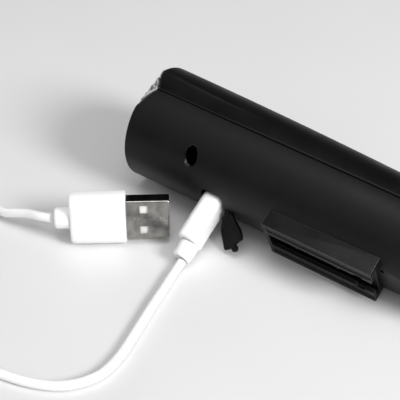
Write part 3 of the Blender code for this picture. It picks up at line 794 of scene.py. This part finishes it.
# ------------------------ rail
RAIL_X, RAIL_HALF, RAIL_FACE = (48.9, 81.8), 9.2, -18.45
SLOT_HALF, CHANNEL_HALF, LIP_INNER, CHANNEL_FLOOR = 3.6, 7.3, -17.3, -15.9
LATCH_X, LATCH_DEPTH = (76.4, 79.0), 0.95
GROOVE_SIDES, GROOVE_DEPTH = (SLOT_HALF + 1.5, RAIL_HALF - 0.9), 0.35
CLOSED_FRONT, RAIL_CUT_END = 1.0, 90


def case_body(low, high, step):
    """Solid that fills the case from x = low to high, 0.1 mm inside its skin."""
    count = round((high - low) / step) + 1
    around = [2 * math.pi * (i + 0.5) / 120 for i in range(120)]
    return loft([[section(low + step * i, angle, 0.1) for angle in around] for i in range(count)])


def rail(mats):
    start, end = RAIL_X
    corners = [(end, RAIL_HALF), (start, RAIL_HALF), (start, -RAIL_HALF), (end, -RAIL_HALF)]
    rings = [[(x, y, z) for x, y in corners] for z in (-10.0, RAIL_FACE)]
    block = mesh_piece("rail", loft(rings), mats['rail'])
    front = start + CLOSED_FRONT
    along = (front, RAIL_CUT_END)
    slot_z = (-20, LIP_INNER + 0.2)
    latch_half = SLOT_HALF + LATCH_DEPTH
    cutters = [
        hidden("rail_seat", case_body(start - 6, start + 36, 3.0)),
        hidden("rail_slot", box(along, (-SLOT_HALF, SLOT_HALF), slot_z)),
        hidden("rail_channel", box(along, (-CHANNEL_HALF, CHANNEL_HALF),
                                   (LIP_INNER, CHANNEL_FLOOR))),
        hidden("rail_latch", box(LATCH_X, (-latch_half, latch_half), slot_z)),
    ]
    for side in (-1, 1):
        groove = sorted(side * y for y in GROOVE_SIDES)
        cutters.append(hidden("rail_groove", box((front, end + 3.0), groove,
                                                 (-20, RAIL_FACE + GROOVE_DEPTH))))
    carve(block, cutters)
    # The bevel faces take slot 1, a painted highlight along the rail's edges.
    block.data.materials.append(mats['rail_edge'])
    soften(block, 0.28, segments=3, angle=40, edge_slot=1)
    adopt(block, "light", "black_grained_plastic", "mount_rail")


# ------------------------ screws and button
CASE_SCREW = {'seat': -6.4, 'head': 1.62, 'tip': 6.7}
RAIL_SCREW = {'seat': CHANNEL_FLOOR - 0.02, 'head': 1.7, 'tip': -13.2}
RAIL_SCREWS = (("front", 57.0), ("rear", 70.0))


def cross_screw(name, x, y, seat, head, tip, mats):
    """Pan-head screw seen from below, with a cross recess; head is the radius of its head."""
    profile = [(seat - 1.35, 0), (seat - 1.33, head * 0.45), (seat - 1.2, head * 0.8),
               (seat - 0.9, head * 0.97), (seat - 0.55, head), (seat, head), (seat, head * 0.5),
               (tip - 0.4, head * 0.5), (tip, head * 0.2), (tip, 0)]
    screw = mesh_piece("screw_" + name, turned(profile, (x, y), 'Z', 40), mats['screw'])
    reach, half = head * 0.62, head * 0.14
    carve(screw, [hidden("slot", box((x - a, x + a), (y - b, y + b), (seat - 3, seat - 0.6)))
                  for a, b in ((reach, half), (half, reach))])
    return screw


def screws(mats):
    for name, x, y in SCREWS:
        screw = cross_screw(name, x, y, mats=mats, **CASE_SCREW)
        adopt(screw, "light", "blackened_steel", "case_screw_" + name)
    for name, x in RAIL_SCREWS:
        screw = cross_screw("rail_" + name, x, 0.0, mats=mats, **RAIL_SCREW)
        adopt(screw, "light", "blackened_steel", "rail_screw_" + name)


def button(mats):
    """Soft button with a flange under the shell, a raised ring and six pips."""
    r, top = BUTTON_RADIUS, BUTTON_TOP
    flange = [(12.0, 0), (12.0, 5.5), (12.2, 5.6), (12.6, 5.6), (12.8, 5.5), (12.8, r)]
    face = [(top - 0.5, r), (top - 0.2, r - 0.1), (top - 0.05, r - 0.3), (top, r - 0.6),
            (top - 0.05, r - 0.9), (top - 0.3, r - 1.3), (top - 0.42, r - 2.2), (top - 0.45, 0)]
    cap = mesh_piece("button_cap", turned(flange + face, (BUTTON_X, 0), 'Z', 96), mats['button'])
    dome = [(top - 0.9, 0), (top - 0.9, 0.36), (top - 0.33, 0.34), (top - 0.22, 0.24),
            (top - 0.18, 0)]
    ring, count = 1.9, 6
    pips = []
    for i in range(count):
        turn = 2 * math.pi * (i + 0.5) / count
        centre = (BUTTON_X + ring * math.cos(turn), ring * math.sin(turn))
        pips.append(hidden("pip", turned(dome, centre, 'Z', 20)))
    carve(cap, pips, 'UNION')
    adopt(cap, "power_button", "black_rubber", "power_button")


def indicator_window(mats):
    profile = [(11.4, 0), (11.4, 1.3), (12.4, 1.3), (12.4, 0.72), (15.3, 0.72), (15.5, 0.6),
               (15.62, 0.35), (15.65, 0)]
    pipe = mesh_piece("indicator_window", turned(profile, (WINDOW_X, 0), 'Z', 40),
                      mats['ear_rim'])
    adopt(pipe, "light", "clear_polycarbonate", "indicator_light_pipe")


# ------------------------ port cover
# The cover's own directions: away from its root, across it, and out through its ribbed face.
COVER_ROOT, FOOT_AT = Vector((35.0, -0.6, -17.85)), (35.1, -0.4)
COVER_ALONG = Vector((0.619, 0.365, -0.696)).normalized()
COVER_ACROSS = Vector((0.729, -0.594, 0.338)).normalized()
COVER_THROUGH = COVER_ALONG.cross(COVER_ACROSS).normalized()
COVER_THICK, COVER_EDGE = 1.15, 0.22
CURL, CURL_AT, CURL_START = 0.018, 4.0, -0.29

# The tip is a lobe on the left, then a shorter step, with a blend between the two places.
LOBE_LENGTH, STEP_LENGTH = 9.45, 8.55
LOBE_END, STEP_START = -0.9, 1.1
RIB_BAND, RIB_PITCH, RIB_HEIGHT, RIB_FADE = 2.6, 0.95, 0.16, (4.5, 7.0)

# Distance from the root, with the left and the right edge there.
COVER_SIDES = ((0.0, -1.5, 2.0), (1.2, -2.4, 2.2), (2.6, -3.4, 2.4), (4.0, -3.9, 2.8),
               (5.6, -4.0, 3.3), (7.6, -4.0, 3.6), (9.0, -3.9, 3.5), (9.6, -3.75, 3.3))


def cover_point(s, t, d):
    return COVER_ROOT + COVER_ALONG * s + COVER_ACROSS * t + COVER_THROUGH * d


def cover_sides(s):
    """Left and right edge of the cover at a distance from its root."""
    for (s0, a0, b0), (s1, a1, b1) in zip(COVER_SIDES, COVER_SIDES[1:]):
        if s <= s1:
            t = (s - s0) / (s1 - s0)
            return a0 + (a1 - a0) * t, b0 + (b1 - b0) * t
    return COVER_SIDES[-1][1:]


def cover_tip(t):
    """Length of the cover at a place across it."""
    if t < LOBE_END:
        return LOBE_LENGTH - 0.5 * max(0.0, -t - 2.9) ** 2
    if t > STEP_START:
        return STEP_LENGTH - 0.25 * (t - STEP_START)
    return LOBE_LENGTH + (STEP_LENGTH - LOBE_LENGTH) * blend(t, LOBE_END, STEP_START)


def cover_rib(s, t):
    """Height of the lengthwise ribs near the root."""
    if abs(t) >= RIB_BAND:
        return 0.0
    wave = 0.5 + 0.5 * math.cos(2 * math.pi * t / RIB_PITCH)
    return RIB_HEIGHT * (1 - blend(s, *RIB_FADE)) * wave


def cover_row(share):
    """Ring of points around the flap, at a share of its length from the root."""
    left, right = cover_sides(LOBE_LENGTH * share)
    front, back = [], []
    for j in range(49):
        t = left + (right - left) * (0.5 - 0.5 * math.cos(math.pi * j / 48))
        s = cover_tip(t) * share
        sink = edge_round(max(0.0, min(t - left, right - t, cover_tip(t) - s)), COVER_EDGE)
        curl = CURL_START + CURL * (s - CURL_AT) ** 2
        front.append(cover_point(s, t, curl - sink + cover_rib(s, t) * (1 - sink / COVER_EDGE)))
        back.append(cover_point(s, t, curl - COVER_THICK + sink))
    return front + back[::-1]


def cover_flap(mats):
    rings = [cover_row(1 - (1 - i / 60) ** 1.4) for i in range(61)]
    flap = mesh_piece("cover_flap", loft(rings), mats['rubber'], smooth=50)
    adopt(flap, "port_cover", "black_rubber", "port_cover")


def cover_nub(mats):
    """Small hollow peg at the tip."""
    profile = [(-1.1, 0), (-1.1, 0.85), (-0.95, 0.98), (-0.15, 0.98), (0.0, 0.85), (0.0, 0.55),
               (-0.18, 0.4), (-0.2, 0)]
    turn = Matrix((COVER_ALONG, COVER_ACROSS, COVER_THROUGH)).transposed().to_4x4()
    place = LIGHT @ Matrix.Translation(cover_point(9.7, 0.1, 0.2)) @ turn
    nub = mesh_piece("cover_nub", turned(profile, axis='Z', sides=32), mats['rubber'], place, 50)
    adopt(nub, "port_cover", "black_rubber")


def cover_foot(mats):
    """Pillar on the case that the cover hangs from."""
    outline = rounded_rect(0.75, 1.0, 0.35, 4)
    rings = [[(FOOT_AT[0] + x * size, FOOT_AT[1] + y * size, z) for x, y in outline]
             for z, size in ((-16.4, 1.25), (-16.9, 1.0), (-17.5, 0.9), (-18.3, 0.85))]
    foot = mesh_piece("cover_foot", loft(rings), mats['rubber'])
    adopt(foot, "light", "black_rubber")


# ------------------------ charging lead
PLUG_LENGTH, USB_A_LENGTH = 15.9, 12.2
USB_A_START = PLUG_LENGTH + 0.05
USB_A_END = USB_A_START + USB_A_LENGTH
USB_A_HALVES, USB_A_SHEET = (2.25, 6.0), 0.3


def soft_bar(shape, halves, corner, place):
    """Bar with rounded corners: shape gives places along it and how much it shrinks there."""
    rings = []
    for along, shrink in shape:
        outline = rounded_rect(halves[0] - shrink, halves[1] - shrink, corner - shrink * 0.9, 12)
        rings.append([place(a, b, along) for a, b in outline])
    return loft(rings)


def small_plug(mats):
    shape = ((-14.8, 0.9), (-14.9, 0.5), (-15.1, 0.2), (-15.4, 0.0), (-29.2, 0.0), (-29.5, 0.08),
             (-29.7, 0.25), (-29.8, 0.5), (-29.8, 0.9))
    bar = soft_bar(shape, (3.15, 4.3), 2.2,
                   lambda a, b, along: (PLUG_AT[0] + a, PLUG_AT[1] + b, along))
    body = mesh_piece("small_plug_body", bar, mats['white'], smooth=50)
    adopt(body, "light", "white_soft_plastic", "micro_plug_overmold")
    profile = [(-29.9, 0), (-29.9, 2.65), (-30.1, 2.86), (-30.6, 2.92), (-34.1, 2.85),
               (-34.5, 2.82), (-34.8, 2.6), (-34.9, 2.25), (-34.85, 1.8), (-34.5, 1.45),
               (-33.0, 1.4), (-33.0, 0)]
    relief = mesh_piece("small_plug_relief", turned(profile, NECK_AT, 'Z', 64), mats['white'],
                        smooth=50)
    adopt(relief, "light", "white_soft_plastic", "micro_plug_relief")


def large_plug_body(mats):
    shape = ((0.0, 1.6), (0.02, 1.0), (0.15, 0.5), (0.45, 0.2), (0.9, 0.06), (1.6, 0.0),
             (PLUG_LENGTH - 0.7, 0.0), (PLUG_LENGTH - 0.35, 0.05), (PLUG_LENGTH - 0.12, 0.18),
             (PLUG_LENGTH, 0.4), (PLUG_LENGTH, 1.2))
    bar = soft_bar(shape, (4.0, 7.75), 3.5, lambda a, b, along: (along, a, b))
    body = mesh_piece("large_plug_body", bar, mats['white'], USB_A, 50)
    adopt(body, "light", "white_soft_plastic", "usb_a_overmold")
    profile = [(-0.05, 0), (-0.05, 3.15), (-0.4, 3.1), (-3.5, 3.05), (-4.0, 2.9), (-4.3, 2.55),
               (-4.4, 2.2), (-4.35, 1.75), (-4.1, 1.5), (-2.5, 1.4), (-2.5, 0)]
    relief = mesh_piece("large_plug_relief", turned(profile, sides=64), mats['white'], USB_A, 50)
    adopt(relief, "light", "white_soft_plastic", "usb_a_relief")


def seam_cutters():
    """Thin boxes along the seam in the steel, with two steps to the side like a dovetail."""
    first, last, step = USB_A_START, USB_A_END, 0.75
    line = [(first + 0.2, 0.0), (first + 2.2, 0.0), (first + 2.5, step), (first + 3.5, step),
            (first + 3.8, 0.0), (first + 7.9, 0.0), (first + 8.1, step), (first + 9.6, step),
            (first + 9.8, 0.0), (last - 0.15, 0.0)]
    depths = (-USB_A_HALVES[0] - 0.5, -USB_A_HALVES[0] + 0.16)
    cutters = []
    for (xa, za), (xb, zb) in zip(line, line[1:]):
        run = Vector((xb - xa, zb - za))
        side = Vector((-run.y, run.x)).normalized() * 0.07
        tip = run.normalized() * 0.05
        corners = [(xa - tip.x + side.x, za - tip.y + side.y),
                   (xb + tip.x + side.x, zb + tip.y + side.y),
                   (xb + tip.x - side.x, zb + tip.y - side.y),
                   (xa - tip.x - side.x, za - tip.y - side.y)]
        bar = loft([[(x, y, z) for x, z in corners] for y in depths])
        cutters.append(hidden("seam", bar, USB_A))
    return cutters


def large_plug_shell(mats):
    half_y, half_z = USB_A_HALVES
    first, last = USB_A_START, USB_A_END
    outside = rounded_rect(half_y, half_z, 0.55, 5)
    inside = rounded_rect(half_y - USB_A_SHEET, half_z - USB_A_SHEET, 0.3, 5)
    steps = [(first, 0.0, outside), (last - 0.35, 0.0, outside), (last - 0.1, 0.06, outside),
             (last, 0.2, outside), (last, 0.02, inside), (last - 0.5, 0.0, inside),
             (first + 0.4, 0.0, inside)]
    rings = [[(x, y * (1 - k / 4), z * (1 - k / 8)) for y, z in outline]
             for x, k, outline in steps]
    shell = mesh_piece("large_plug_shell", loft(rings), mats['chrome'], USB_A, 40)
    window_x = (first + 3.9, first + 6.2)
    carve(shell, [hidden("window", box(window_x, (-4, 4), (z - 1.2, z + 1.2)), USB_A)
                  for z in (-3.3, 3.3)])
    carve(shell, seam_cutters())
    adopt(shell, "light", "nickel_plated_steel", "usb_a_shell")


def large_plug_tongue(mats):
    first, last = USB_A_START, USB_A_END
    tongue = mesh_piece("large_plug_tongue",
                        box((first + 0.6, last - 0.5), (-1.75, 0.2), (-5.5, 5.5)),
                        mats['tongue'], USB_A)
    soften(tongue, 0.15)
    adopt(tongue, "light", "white_soft_plastic", "usb_a_tongue")
    for i, z in enumerate((-3.6, -1.2, 1.2, 3.6)):
        contact = mesh_piece("large_plug_contact_%d" % i,
                             box((first + 4.5, last - 1.2), (0.2, 0.32), (z - 0.5, z + 0.5)),
                             mats['socket'], USB_A)
        soften(contact, 0.04)
        adopt(contact, "light", "nickel_plated_steel")


def cable(mats):
    route = smooth_route(CABLE_ROUTE, 1.6)
    data = bpy.data.curves.new("lead_cable", 'CURVE')
    data.dimensions = '3D'
    data.bevel_depth = CABLE_DIAMETER / 2 * MM
    data.bevel_resolution = 8
    data.use_fill_caps = True
    spline = data.splines.new('POLY')
    spline.points.add(len(route) - 1)
    for target, point in zip(spline.points, route):
        target.co = (*(point * MM), 1.0)
    spline.use_smooth = True
    data.materials.append(mats['white'])
    obj = bpy.data.objects.new("lead_cable", data)
    bpy.context.scene.collection.objects.link(obj)
    adopt(obj, "light", "white_soft_plastic", "charging_cable")


# ------------------------ inside
INNER_FINISH = {
    'lens_gasket': 'gasket', 'led_emitter': 'phosphor', 'led_board': 'board',
    'heat_sink': 'sink', 'main_board': 'board', 'switch_board': 'board',
    'usb_socket': 'socket', 'battery_cell': 'cell', 'battery_cradle': 'inner',
    'battery_foam': 'foam', 'battery_tab_front': 'socket', 'battery_tab_rear': 'socket',
    'tactile_switch': 'inner', 'switch_plunger': 'inner', 'micro_plug_shell': 'chrome',
    'led_wire_positive': 'red', 'battery_wire_positive': 'red',
    'led_wire_negative': 'black', 'battery_wire_negative': 'black',
}


def inner_nodes(mats):
    """The CAD nodes that are shown as they are get their own surfaces."""
    for node, key in INNER_FINISH.items():
        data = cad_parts[node].data
        data.materials.clear()
        data.materials.append(mats[key])


def reflector(mats):
    """Bowl that opens from the lamp to the lens, with a flange at its front."""
    front, back, lamp_radius, flare, flange_radius, wall = 3.9, 20.0, 3.4, 9.2, 14.4, 0.7
    steps = 24
    inner = [(back - (back - front) * (i / steps) ** 2, lamp_radius + flare * i / steps)
             for i in range(steps + 1)]
    flange = [(front, flange_radius), (front + wall, flange_radius)]
    outer = [(max(x, front + wall), r + wall) for x, r in reversed(inner)]
    bowl = mesh_piece("reflector_bowl", turned(inner + flange + outer, sides=128), mats['mirror'],
                      smooth=40)
    adopt(bowl, "light", "bright_reflector", "reflector")


# ------------------------ stage
# Lamps: place and size in mm, power in watts.
LAMPS = (("right_softbox", (660, -35, 500), 300, 5.9),
         ("left_softbox", (-760, 170, 150), 240, 1.3),
         ("overhead", (30, -120, 900), 560, 2.1))
SKY_TOWARDS, SKY_RANGE, SKY_STRENGTH = (0.22, -0.50, 0.84), (0.42, 0.84), 0.76
CAMERA_AT = (96.884, -196.446, 210.81)
CAMERA_AZIMUTH, CAMERA_ELEVATION, CAMERA_LENS = 34.83, 42.0, 94.5


def table_top():
    mat, nodes, links, shader = shader_material("table_top")
    mottle = noise_node(nodes, links, 60.0, 2.0)
    factor = ranged(nodes, links, mottle.outputs['Fac'], 0.0, 1.0)
    links.new(colour_mix(nodes, links, factor, (0.74, 0.74, 0.742), (0.76, 0.76, 0.758)),
              shader.inputs['Base Color'])
    shader.inputs['Roughness'].default_value = 0.32
    shader.inputs['Specular IOR Level'].default_value = 0.5
    bm = bmesh.new()
    bmesh.ops.create_grid(bm, x_segments=1, y_segments=1, size=1500.0)
    floor = mesh_piece("table", bm, mat, ROW)


def sky():
    """Dim surroundings with a bright cap that leans towards the front."""
    world = bpy.data.worlds.new("studio")
    bpy.context.scene.world = world
    world.use_nodes = True
    nodes, links = world.node_tree.nodes, world.node_tree.links
    back = nodes["Background"]
    place = nodes.new('ShaderNodeTexCoord')
    lean = nodes.new('ShaderNodeVectorMath')
    lean.operation = 'DOT_PRODUCT'
    lean.inputs[1].default_value = SKY_TOWARDS
    links.new(place.outputs['Generated'], lean.inputs[0])
    shade = ranged(nodes, links, lean.outputs['Value'], 0.05, 1.0, *SKY_RANGE)
    links.new(shade, back.inputs['Color'])
    back.inputs['Strength'].default_value = SKY_STRENGTH


def lamps():
    for name, spot, size, power in LAMPS:
        lamp = bpy.data.lights.new(name, 'AREA')
        lamp.shape = 'DISK'
        lamp.size = size * MM
        lamp.energy = power
        obj = bpy.data.objects.new(name, lamp)
        obj.location = Vector(spot) * MM
        obj.rotation_euler = (-obj.location).to_track_quat('-Z', 'Y').to_euler()
        bpy.context.scene.collection.objects.link(obj)


def camera():
    bpy.context.scene.view_settings.view_transform = 'Standard'
    data = bpy.data.cameras.new("view")
    data.lens = CAMERA_LENS
    data.sensor_width = 36.0
    data.clip_start = 0.01
    data.clip_end = 20.0
    obj = bpy.data.objects.new("view", data)
    azimuth, elevation = math.radians(CAMERA_AZIMUTH), math.radians(CAMERA_ELEVATION)
    back = Vector((math.sin(azimuth) * math.cos(elevation),
                   -math.cos(azimuth) * math.cos(elevation), math.sin(elevation)))
    obj.location = Vector(CAMERA_AT) * MM
    obj.rotation_mode = 'QUATERNION'
    obj.rotation_quaternion = back.to_track_quat('Z', 'Y')
    bpy.context.scene.collection.objects.link(obj)
    bpy.context.scene.camera = obj


def main():
    mats = make_materials()
    for make in (lower_shell, upper_shell, lens_disc, lens_ears, rail, screws, button,
                 indicator_window, cover_flap, cover_nub, cover_foot, small_plug,
                 large_plug_body, large_plug_shell, large_plug_tongue, cable, reflector,
                 inner_nodes):
        make(mats)
    table_top()
    sky()
    lamps()
    camera()


main()
